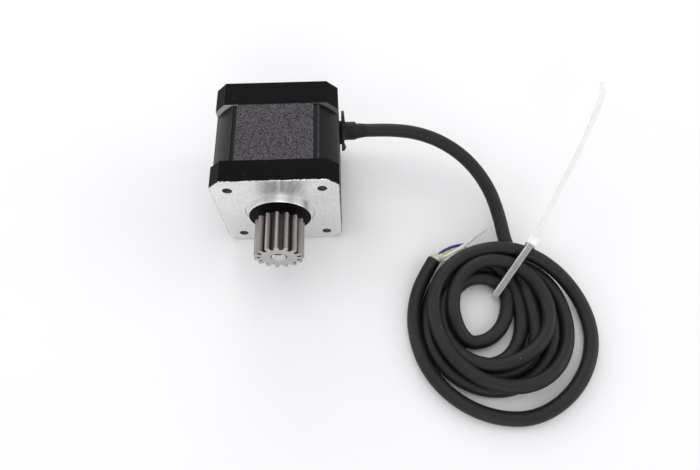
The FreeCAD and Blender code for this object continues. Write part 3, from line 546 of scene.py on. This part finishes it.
# Each turn of the coil passes its right, front, left and back extremes in this order.
TURNS = [
    [(88.3, -36.0, 4.2), (71.5, -55.4, 2.5), (55.0, -34.0, 2.5), (70.0, -13.2, 5.6)],
    [(84.1, -31.5, 2.6), (69.0, -51.6, 2.5), (57.2, -35.5, 2.5), (69.6, -20.0, 4.6)],
    [(79.9, -27.0, 2.5), (66.4, -43.6, 2.6), (59.1, -31.5, 7.2), (74.5, -15.2, 9.6)],
    [(92.6, -34.3, 7.0), (71.3, -52.5, 6.8), (54.9, -36.5, 5.0), (73.5, -15.8, 2.5)],
    [(94.6, -36.5, 2.5), (72.4, -60.1, 2.5), (50.2, -38.0, 2.5), (76.0, -12.0, 2.5)],
    [(99.5, -36.5, 2.6), (77.0, -59.9, 7.0), (52.0, -32.5, 7.4), (78.2, -10.3, 9.6)],
    [(107.5, -39.7, 2.6), (78.0, -69.6, 2.5), (45.4, -38.0, 3.0)],
]

# The bulge between the free stretch and the first turn.
LEAD_IN = [(86.4, -22.0, 4.5)]
CUT_END = [(46.6, -28.0, 3.4), (49.8, -20.0, 4.2), (54.5, -13.0, 5.0)]
STEPS_PER_QUARTER = 4
# Exponents of the quarters that aren't plain ovals, by their place along the coil: under 1 is fuller.
QUARTER_EXPONENTS = {0: 0.91, 4: 0.9, 12: 1.06, 18: 0.88, 19: 0.93, 22: 0.95, 23: 1.05, 24: 1.09}


def coil_points():
    """Places along the turns: a quarter of an oval between each two extremes, rising smoothly."""
    extremes = [place for turn in TURNS for place in turn]
    points = []
    for index, (start, end) in enumerate(zip(extremes, extremes[1:])):
        exponent = QUARTER_EXPONENTS.get(index, 1.0)
        for step in range(STEPS_PER_QUARTER):
            share = step / STEPS_PER_QUARTER
            turn = share * math.pi / 2
            fading, growing = math.cos(turn) ** exponent, math.sin(turn) ** exponent
            if index % 2 == 0:
                x = end[0] + (start[0] - end[0]) * fading
                y = start[1] + (end[1] - start[1]) * growing
            else:
                x = start[0] + (end[0] - start[0]) * growing
                y = end[1] + (start[1] - end[1]) * fading
            rise = share * share * (3 - 2 * share)
            points.append((x, y, start[2] + (end[2] - start[2]) * rise))
    return points + [extremes[-1]]


def make_cable():
    route = [on_table(*place) for place in FREE_ROUTE + LEAD_IN + coil_points() + CUT_END]
    cable = curve_piece("cable", [route], CABLE_DIAMETER / 2, "cable_jacket", resolution=10)
    cable.data.bevel_resolution = 12
    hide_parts("cable_lead", "cable_coil")
    return cable


make_camera()
cable = make_cable()


# ---------------------------------------------------------------- gland


GLAND_SIDES = 48
GLAND_BORE = CABLE_DIAMETER / 2 / MM + 0.02
PLATE_HALF_WIDTH, PLATE_REACH = 5.3, 7.6


def gland_place(x, y, z):
    """A place in metres from millimetres about the cable's axis where it leaves the motor."""
    return Vector((x * MM, GLAND_Y + y * MM, z * MM))


def gland_ring(x, radius, lump=0.0, sag=0.0, foot=None):
    """A ring across the cable; foot squares off its lower side at that reach."""
    places = []
    for side in range(GLAND_SIDES):
        turn = 2 * math.pi * side / GLAND_SIDES
        bumps = noise.noise(Vector((x * 0.9, math.cos(turn), math.sin(turn) + 7)))
        reach = radius * (1 + lump * bumps)
        y, z = reach * math.cos(turn), reach * math.sin(turn)
        if foot and y < 0:
            grow = min(foot / max(-math.cos(turn), 1e-6), radius / max(abs(math.sin(turn)), 1e-6))
            y, z = grow * math.cos(turn), grow * math.sin(turn)
        places.append(gland_place(x, y - sag, z))
    return places


def gland_neck_and_boot():
    """The U-shaped neck in the cap's notch, its collar, and the lumpy boot that tapers to the cable."""
    start, end, radius, foot = 17.7, 22.1, 3.8, 3.5
    neck = [gland_ring(start, GLAND_BORE), gland_ring(start, radius, foot=foot)]
    neck += [gland_ring(end, radius, foot=foot), gland_ring(22.9, 3.6)]
    collar = [gland_ring(23.2, 3.42), gland_ring(24.6, 3.36), gland_ring(26.6, 3.4)]
    collar += [gland_ring(27.0, 3.37), gland_ring(27.25, 3.2)]
    boot = [gland_ring(27.4, 3.0, 0.06, 0.2), gland_ring(27.8, 2.86, 0.1, 0.22)]
    boot += [gland_ring(28.4, 2.76, 0.1, 0.12), gland_ring(29.2, 2.68, 0.08, 0.05)]
    boot += [gland_ring(30.2, 2.58, 0.04), gland_ring(31.2, GLAND_BORE)]
    return loft(neck + collar + boot, closed_ends=False)


def gland_plate():
    """The flange plate, bowed at its ends and bulging on its outer side."""
    rings = []
    for level, bulging, inset in ((21.95, 0, 0.2), (22.05, 0, 0.0), (22.85, 1, 0.0), (23.0, 1, 0.2)):
        outline = []
        for side in range(GLAND_SIDES):
            turn = 2 * math.pi * side / GLAND_SIDES
            y = max(-PLATE_HALF_WIDTH, min(PLATE_HALF_WIDTH, PLATE_REACH * math.cos(turn)))
            z = PLATE_REACH * math.sin(turn)
            shrink = 1 - inset / PLATE_REACH
            bow = 0.3 * (z / PLATE_REACH) ** 2 * (0.6 if z > 0 else -0.3)
            bulge = 0.7 * math.sin(math.pi * min(1.0, -y / PLATE_HALF_WIDTH)) ** 2 if y < 0 else 0.0
            outline.append(gland_place(level + bow + bulge * bulging, y * shrink, z * shrink))
        rings.append(outline)
    return loft(rings)


def make_gland():
    """The strain relief: neck, flange plate and boot in one rubber piece."""
    shape, plate = gland_neck_and_boot(), gland_plate()
    scratch = bpy.data.meshes.new("scratch")
    plate.to_mesh(scratch)
    plate.free()
    shape.from_mesh(scratch)
    bpy.data.meshes.remove(scratch)
    gland = mesh_piece("gland", shape, "black_rubber", smooth_degrees=50)
    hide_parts("cable_gland")


# ---------------------------------------------------------------- cable tie


# The strap's inner end in the coil's hole, and its head at the bundle's outer side.
TIE_INNER = Vector((74.5, -27.9, 0))
TIE_OUTER = Vector((89.9, -9.0, 0))
HEAD_LEVEL = 9.8
HEAD_SIZE = (3.8 * MM, 3.9 * MM, 3.4 * MM)
TIE_STEP = 0.14 * MM
STRAP_WIDTH, STRAP_THICKNESS = 2.25 * MM, 0.95 * MM
WIDE_RAIL, THIN_RAIL = 0.5 * MM, 0.15 * MM
RIB_DEPTH = 0.3 * MM
# The share of the rib depth at each step along a rib, and how much of it the tail has.
RIB_CUTS = (0.0, 0.25, 0.5, 0.75, 1.0)
TAIL_RIBS = 0.2
# Past the head the tail gets slimmer and twists, each within a length; its tip is rounded and plain.
TAIL_SLIMMING, SLIM_WITHIN = 0.28, 12 * MM
TAIL_TWIST, TWIST_WITHIN = math.radians(38), 45 * MM
TAIL_TURN_WITHIN = 20 * MM
TIP_LENGTH, PLAIN_TIP = 4 * MM, 5 * MM


def smooth_line(places, step):
    """Places a step apart along a NURBS spline through control places."""
    data = bpy.data.curves.new("line", "CURVE")
    data.dimensions = "3D"
    data.resolution_u = 24
    spline = data.splines.new("NURBS")
    spline.points.add(len(places) - 1)
    for point, place in zip(spline.points, places):
        point.co = (*place, 1)
    spline.order_u = 3
    spline.use_endpoint_u = True
    holder = bpy.data.objects.new("line", data)
    mesh = bpy.data.meshes.new_from_object(holder)
    dense = [vertex.co.copy() for vertex in mesh.vertices]
    bpy.data.objects.remove(holder)
    bpy.data.curves.remove(data)
    bpy.data.meshes.remove(mesh)
    line, gone = [dense[0]], 0.0
    for before, after in zip(dense, dense[1:]):
        run = (after - before).length
        while gone + run >= step:
            before = before.lerp(after, (step - gone) / run)
            line.append(before)
            run = (after - before).length
            gone = 0.0
        gone += run
    return line


def tie_line():
    """The strap's middle line: from the head down, under the bundle, up, over, and out as the tail."""
    run = (TIE_OUTER - TIE_INNER).normalized()
    span = (TIE_OUTER - TIE_INNER).length

    def at(distance, height):
        place = TIE_INNER + run * distance
        return on_table(place.x, place.y, height)

    under = [
        at(span + 0.2, HEAD_LEVEL - 1.2), at(span + 0.3, 6.0), at(span - 0.2, 2.6), at(span - 2.2, 0.6),
        at(span - 5.0, 0.6), at(span / 2, 0.6), at(5.6, 0.6), at(2.8, 0.7), at(1.5, 2.4), at(1.6, 4.6),
    ]
    over = [
        at(2.4, 6.4), at(4.0, 7.6), at(7.6, 9.7), at(12.2, 11.9), at(14.6, 12.2), at(18.8, 12.0),
        at(21.4, 11.6), at(span - 1.2, 10.6), at(span, HEAD_LEVEL),
    ]
    tail = [
        at(span + 3.0, 9.9), on_table(99.5, 6.5, 11.8), on_table(107.0, 18.0, 14.5),
        on_table(114.6, 31.5, 20.4), on_table(119.3, 41.0, 24.8), on_table(120.6, 44.6, 26.8),
        on_table(120.3, 48.2, 28.4),
    ]
    return smooth_line(under + over + tail, TIE_STEP), run


def strap_across(along, level_across, past_head):
    """The strap's direction of width: level round the bundle, slowly twisting along the tail."""
    across = level_across
    if past_head:
        flat_run = Vector((along.x, along.y, 0)).normalized()
        turned_across = Vector((-flat_run.y, flat_run.x, 0))
        across = level_across.lerp(turned_across, min(1.0, past_head / TAIL_TURN_WITHIN)).normalized()
        twist = TAIL_TWIST * min(1.0, past_head / TWIST_WITHIN)
        across = Matrix.Rotation(twist, 3, along) @ across
    return (across - along * across.dot(along)).normalized()


def strap_section(slim, cut):
    """The strap's corners across and outward: a band with ribs cut into it between two rails."""
    half, deep = STRAP_WIDTH / 2 * slim, STRAP_THICKNESS / 2
    floor = deep - cut * RIB_DEPTH
    left, right = half - WIDE_RAIL * slim, THIN_RAIL * slim - half
    return [
        (-half, -deep), (half, -deep), (half, deep), (left, deep),
        (left, floor), (right, floor), (right, deep), (-half, deep),
    ]


def make_tie():
    """The strap, ribbed like a saw round the bundle and fainter on its slimmer tail, and the head."""
    line, run = tie_line()
    last = len(line) - 1
    level_across = Vector((-run.y, run.x, 0)).normalized()
    head_place = on_table(TIE_OUTER.x, TIE_OUTER.y, HEAD_LEVEL)
    head_index = min(range(len(line) // 3, len(line)), key=lambda i: (line[i] - head_place).length)
    rings, shaded_valleys = [], []
    for i, place in enumerate(line):
        along = (line[min(i + 1, last)] - line[max(i - 1, 0)]).normalized()
        past_head, from_end = max(0.0, (i - head_index) * TIE_STEP), (last - i) * TIE_STEP
        across = strap_across(along, level_across, past_head)
        outward = along.cross(across).normalized()
        slim = 1 - TAIL_SLIMMING * min(1.0, past_head / SLIM_WITHIN)
        if from_end < TIP_LENGTH:
            slim *= 0.55 + 0.45 * (from_end / TIP_LENGTH) ** 0.6
        cut = RIB_CUTS[i % len(RIB_CUTS)]
        if past_head:
            cut *= TAIL_RIBS if from_end > PLAIN_TIP else 0.0
        # Valleys that get the nylon's painted shade.
        shaded_valleys.append(1.0 if cut > 0.7 else 0.0)
        rings.append([place + across * a + outward * b for a, b in strap_section(slim, cut)])
    strap = loft(rings)
    layer = strap.verts.layers.float.new("rib_valley_shade")
    corners = len(rings[0])
    for index, vert in enumerate(strap.verts):
        on_rib_floor = 4 <= index % corners <= 5
        vert[layer] = shaded_valleys[index // corners] if on_rib_floor else 0.0
    tie = mesh_piece("cable_tie_strap", strap, "tie_nylon", smooth_degrees=30)
    head = tie_head(run)
    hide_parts("cable_tie")
    return [tie, head]


def tie_head(run):
    """The square head with its rounded edges, the sunken window of its pawl and a sunken end face."""
    shape = bmesh.new()
    bmesh.ops.create_cube(shape, size=1.0)
    bmesh.ops.scale(shape, vec=HEAD_SIZE, verts=shape.verts)
    bmesh.ops.bevel(shape, geom=list(shape.edges), offset=0.5 * MM, segments=4, profile=0.5, affect="EDGES")
    top = max(shape.faces, key=lambda face: face.calc_center_median().z)
    bmesh.ops.inset_region(shape, faces=[top], thickness=0.55 * MM)
    bmesh.ops.translate(shape, vec=(0, 0, -0.25 * MM), verts=list(top.verts))
    front = max(shape.faces, key=lambda face: face.calc_center_median().x)
    bmesh.ops.inset_region(shape, faces=[front], thickness=0.35 * MM)
    bmesh.ops.translate(shape, vec=(-0.2 * MM, 0, 0), verts=list(front.verts))
    turn = Matrix.Rotation(math.atan2(run.y, run.x), 4, "Z")
    place = Matrix.Translation(on_table(TIE_OUTER.x, TIE_OUTER.y, HEAD_LEVEL - 0.1))
    bmesh.ops.transform(shape, matrix=place @ turn, verts=shape.verts)
    return mesh_piece("cable_tie_head", shape, "tie_head_nylon", smooth_degrees=50)


# ---------------------------------------------------------------- stripped end


# The middle of the jacket's cut, and the directions along the cable there, beside it and up.
CUT_MIDDLE = on_table(*CUT_END[-1])
CUT_ALONG = (CUT_MIDDLE - on_table(*CUT_END[-2])).normalized()
CUT_SIDE = Vector((CUT_ALONG.y, -CUT_ALONG.x, 0)).normalized()
CUT_UP = CUT_SIDE.cross(CUT_ALONG).normalized()

# The way over the coil that the long threads share, and where each of them ends.
SHARED_ROUTE = [(57.0, -13.0, 6.2), (59.5, -11.7, 6.6), (62.4, -10.1, 6.8), (65.6, -7.8, 6.3)]
THREAD_ENDS = [
    (76.8, 1.1, 1.4), (76.2, 0.4, 1.0), (74.6, 0.6, 2.2), (73.0, -0.8, 1.6), (71.2, -2.9, 1.8),
    (69.0, -4.6, 2.6), (67.0, -6.0, 3.4), (65.4, -7.2, 4.4), (64.2, -8.2, 5.2),
]
CROSSING_THREADS, LOW_THREADS, FLUFF_HAIRS = 6, 7, 130
PAPER_STRIPS, STRIP_STEPS, STRIP_CELLS = 5, 8, 6


def around_cut(turn):
    """The direction across the cut at an angle that goes from its side towards its top."""
    return CUT_SIDE * math.cos(turn) + CUT_UP * math.sin(turn)


def long_threads():
    """Threads that lie along the core wires, one to each end place."""
    shared = [Vector(place) for place in SHARED_ROUTE]
    threads = []
    for index, place in enumerate(THREAD_ENDS):
        turn = 1.5 * index / len(THREAD_ENDS)
        spread = Vector((random.uniform(-0.25, 0.25), random.uniform(-0.25, 0.15), random.uniform(-0.4, 0.1)))
        start = CUT_MIDDLE + around_cut(turn) * 1.3 * MM - CUT_ALONG * 0.6 * MM
        goal = Vector(place)
        kept = [point for point in shared if point.x < goal.x - 2]
        route = [on_table(*(point + spread)) for point in kept] + [on_table(*goal)]
        threads.append([start, start + CUT_ALONG * 1.2 * MM] + route)
    return threads


def crossing_threads():
    """Threads that cross over the wires in a narrow fan."""
    threads = []
    for over in range(CROSSING_THREADS):
        start = CUT_MIDDLE + (CUT_SIDE * random.uniform(0.3, 1.2) + CUT_UP * 0.8) * MM
        route = [(58.6, -12.5 + 0.14 * over, 6.6), (62.4, -10.4 + 0.14 * over, 6.9)]
        route += [(66.3 + 0.2 * over, -8.8 + 0.36 * over, 6.2), (70.2 + 1.1 * over, -4.6 + 0.95 * over, 3.0)]
        threads.append([start] + [on_table(*place) for place in route])
    return threads


def low_threads():
    """Shorter threads on the wires' lower side."""
    threads = []
    for below in range(LOW_THREADS):
        offset = CUT_SIDE * random.uniform(0.5, 1.5) + CUT_UP * random.uniform(0.2, 1.0)
        drop = 0.17 * below
        route = [(57.6, -12.9 - drop, 5.8), (60.3, -12.0 - drop, 6.2), (65.0 - 0.5 * below, -9.9 - drop, 6.3)]
        threads.append([CUT_MIDDLE + offset * MM] + [on_table(*place) for place in route])
    return threads


def fluff_hairs():
    """Short bent hairs that stand out all round the cut."""
    hairs = []
    for _ in range(FLUFF_HAIRS):
        turn = random.uniform(0, 2 * math.pi)
        start = CUT_MIDDLE + around_cut(turn) * random.uniform(0.6, 1.9) * MM
        start = start - CUT_ALONG * 0.5 * MM
        lean = (CUT_SIDE * math.cos(turn) + CUT_UP * abs(math.sin(turn))) * random.uniform(0.2, 1.1)
        reach = random.uniform(0.9, 2.8) * MM
        middle = start + (CUT_ALONG + lean * 0.3) * reach * 0.5
        hairs.append([start, middle, start + (CUT_ALONG + lean + Vector((0.3, 0, -0.1))) * reach])
    return hairs


def paper_strips():
    """Torn strips of the paper wrap that flare out of the jacket."""
    shape = bmesh.new()
    for strip in range(PAPER_STRIPS):
        middle_turn = 2 * math.pi * strip / PAPER_STRIPS + 0.5
        length = random.uniform(0.9, 1.8)
        rows = []
        for step in range(STRIP_STEPS + 1):
            share = step / STRIP_STEPS
            bend = Vector((0.35, -0.1, 0)) * (share * share * length * MM)
            row = []
            for cell in range(STRIP_CELLS + 1):
                turn = middle_turn + (cell - STRIP_CELLS / 2) * 0.2
                wobble = noise.noise(Vector((strip * 5 + share * 2.5, cell * 0.45, 3.0)))
                radius = (1.75 + 0.5 * share * share + 0.55 * wobble * share) * MM
                torn = 1 + 0.25 * noise.noise(Vector((cell * 0.8, strip, 1.0)))
                far = (length * share * torn - 0.4) * MM
                place = CUT_MIDDLE + CUT_ALONG * far + around_cut(turn) * radius + bend
                row.append(shape.verts.new(place))
            rows.append(row)
        for row, following in zip(rows, rows[1:]):
            for i in range(STRIP_CELLS):
                shape.faces.new((row[i], row[i + 1], following[i + 1], following[i]))
    bmesh.ops.solidify(shape, geom=shape.faces[:], thickness=0.12 * MM)
    return shape


def frayed_end():
    """Cotton threads, fluff and a torn paper wrap where the jacket ends."""
    threads = long_threads() + crossing_threads() + low_threads()
    strands = curve_piece("filler_threads", threads, 0.13 * MM, "filler_cotton")
    fluff = curve_piece("filler_fluff", fluff_hairs(), 0.18 * MM, "filler_paper")
    paper = mesh_piece("filler_paper_wrap", paper_strips(), "filler_paper", smooth_degrees=70)
    return [strands, fluff, paper]


# ---------------------------------------------------------------- floor and build


def make_floor():
    half_side = 1.4
    shape = bmesh.new()
    bmesh.ops.create_grid(shape, x_segments=4, y_segments=4, size=half_side)
    data = bpy.data.meshes.new("floor")
    shape.to_mesh(data)
    shape.free()
    floor = bpy.data.objects.new("floor", data)
    floor.location = (0.05, 0.0, TABLE)
    bpy.context.scene.collection.objects.link(floor)
    f = Finish("floor_paper", roughness=0.8)
    f.set("Base Color", f.tint(f.noise(60.0, 3), (0.86, 0.855, 0.86), (0.90, 0.895, 0.90)))
    f.relief(f.noise(0.8, 4), 0.02)
    floor.data.materials.append(f.done())


dress_nodes()
make_gland()
tie_pieces = make_tie()
end_pieces = frayed_end()
make_floor()
make_light()
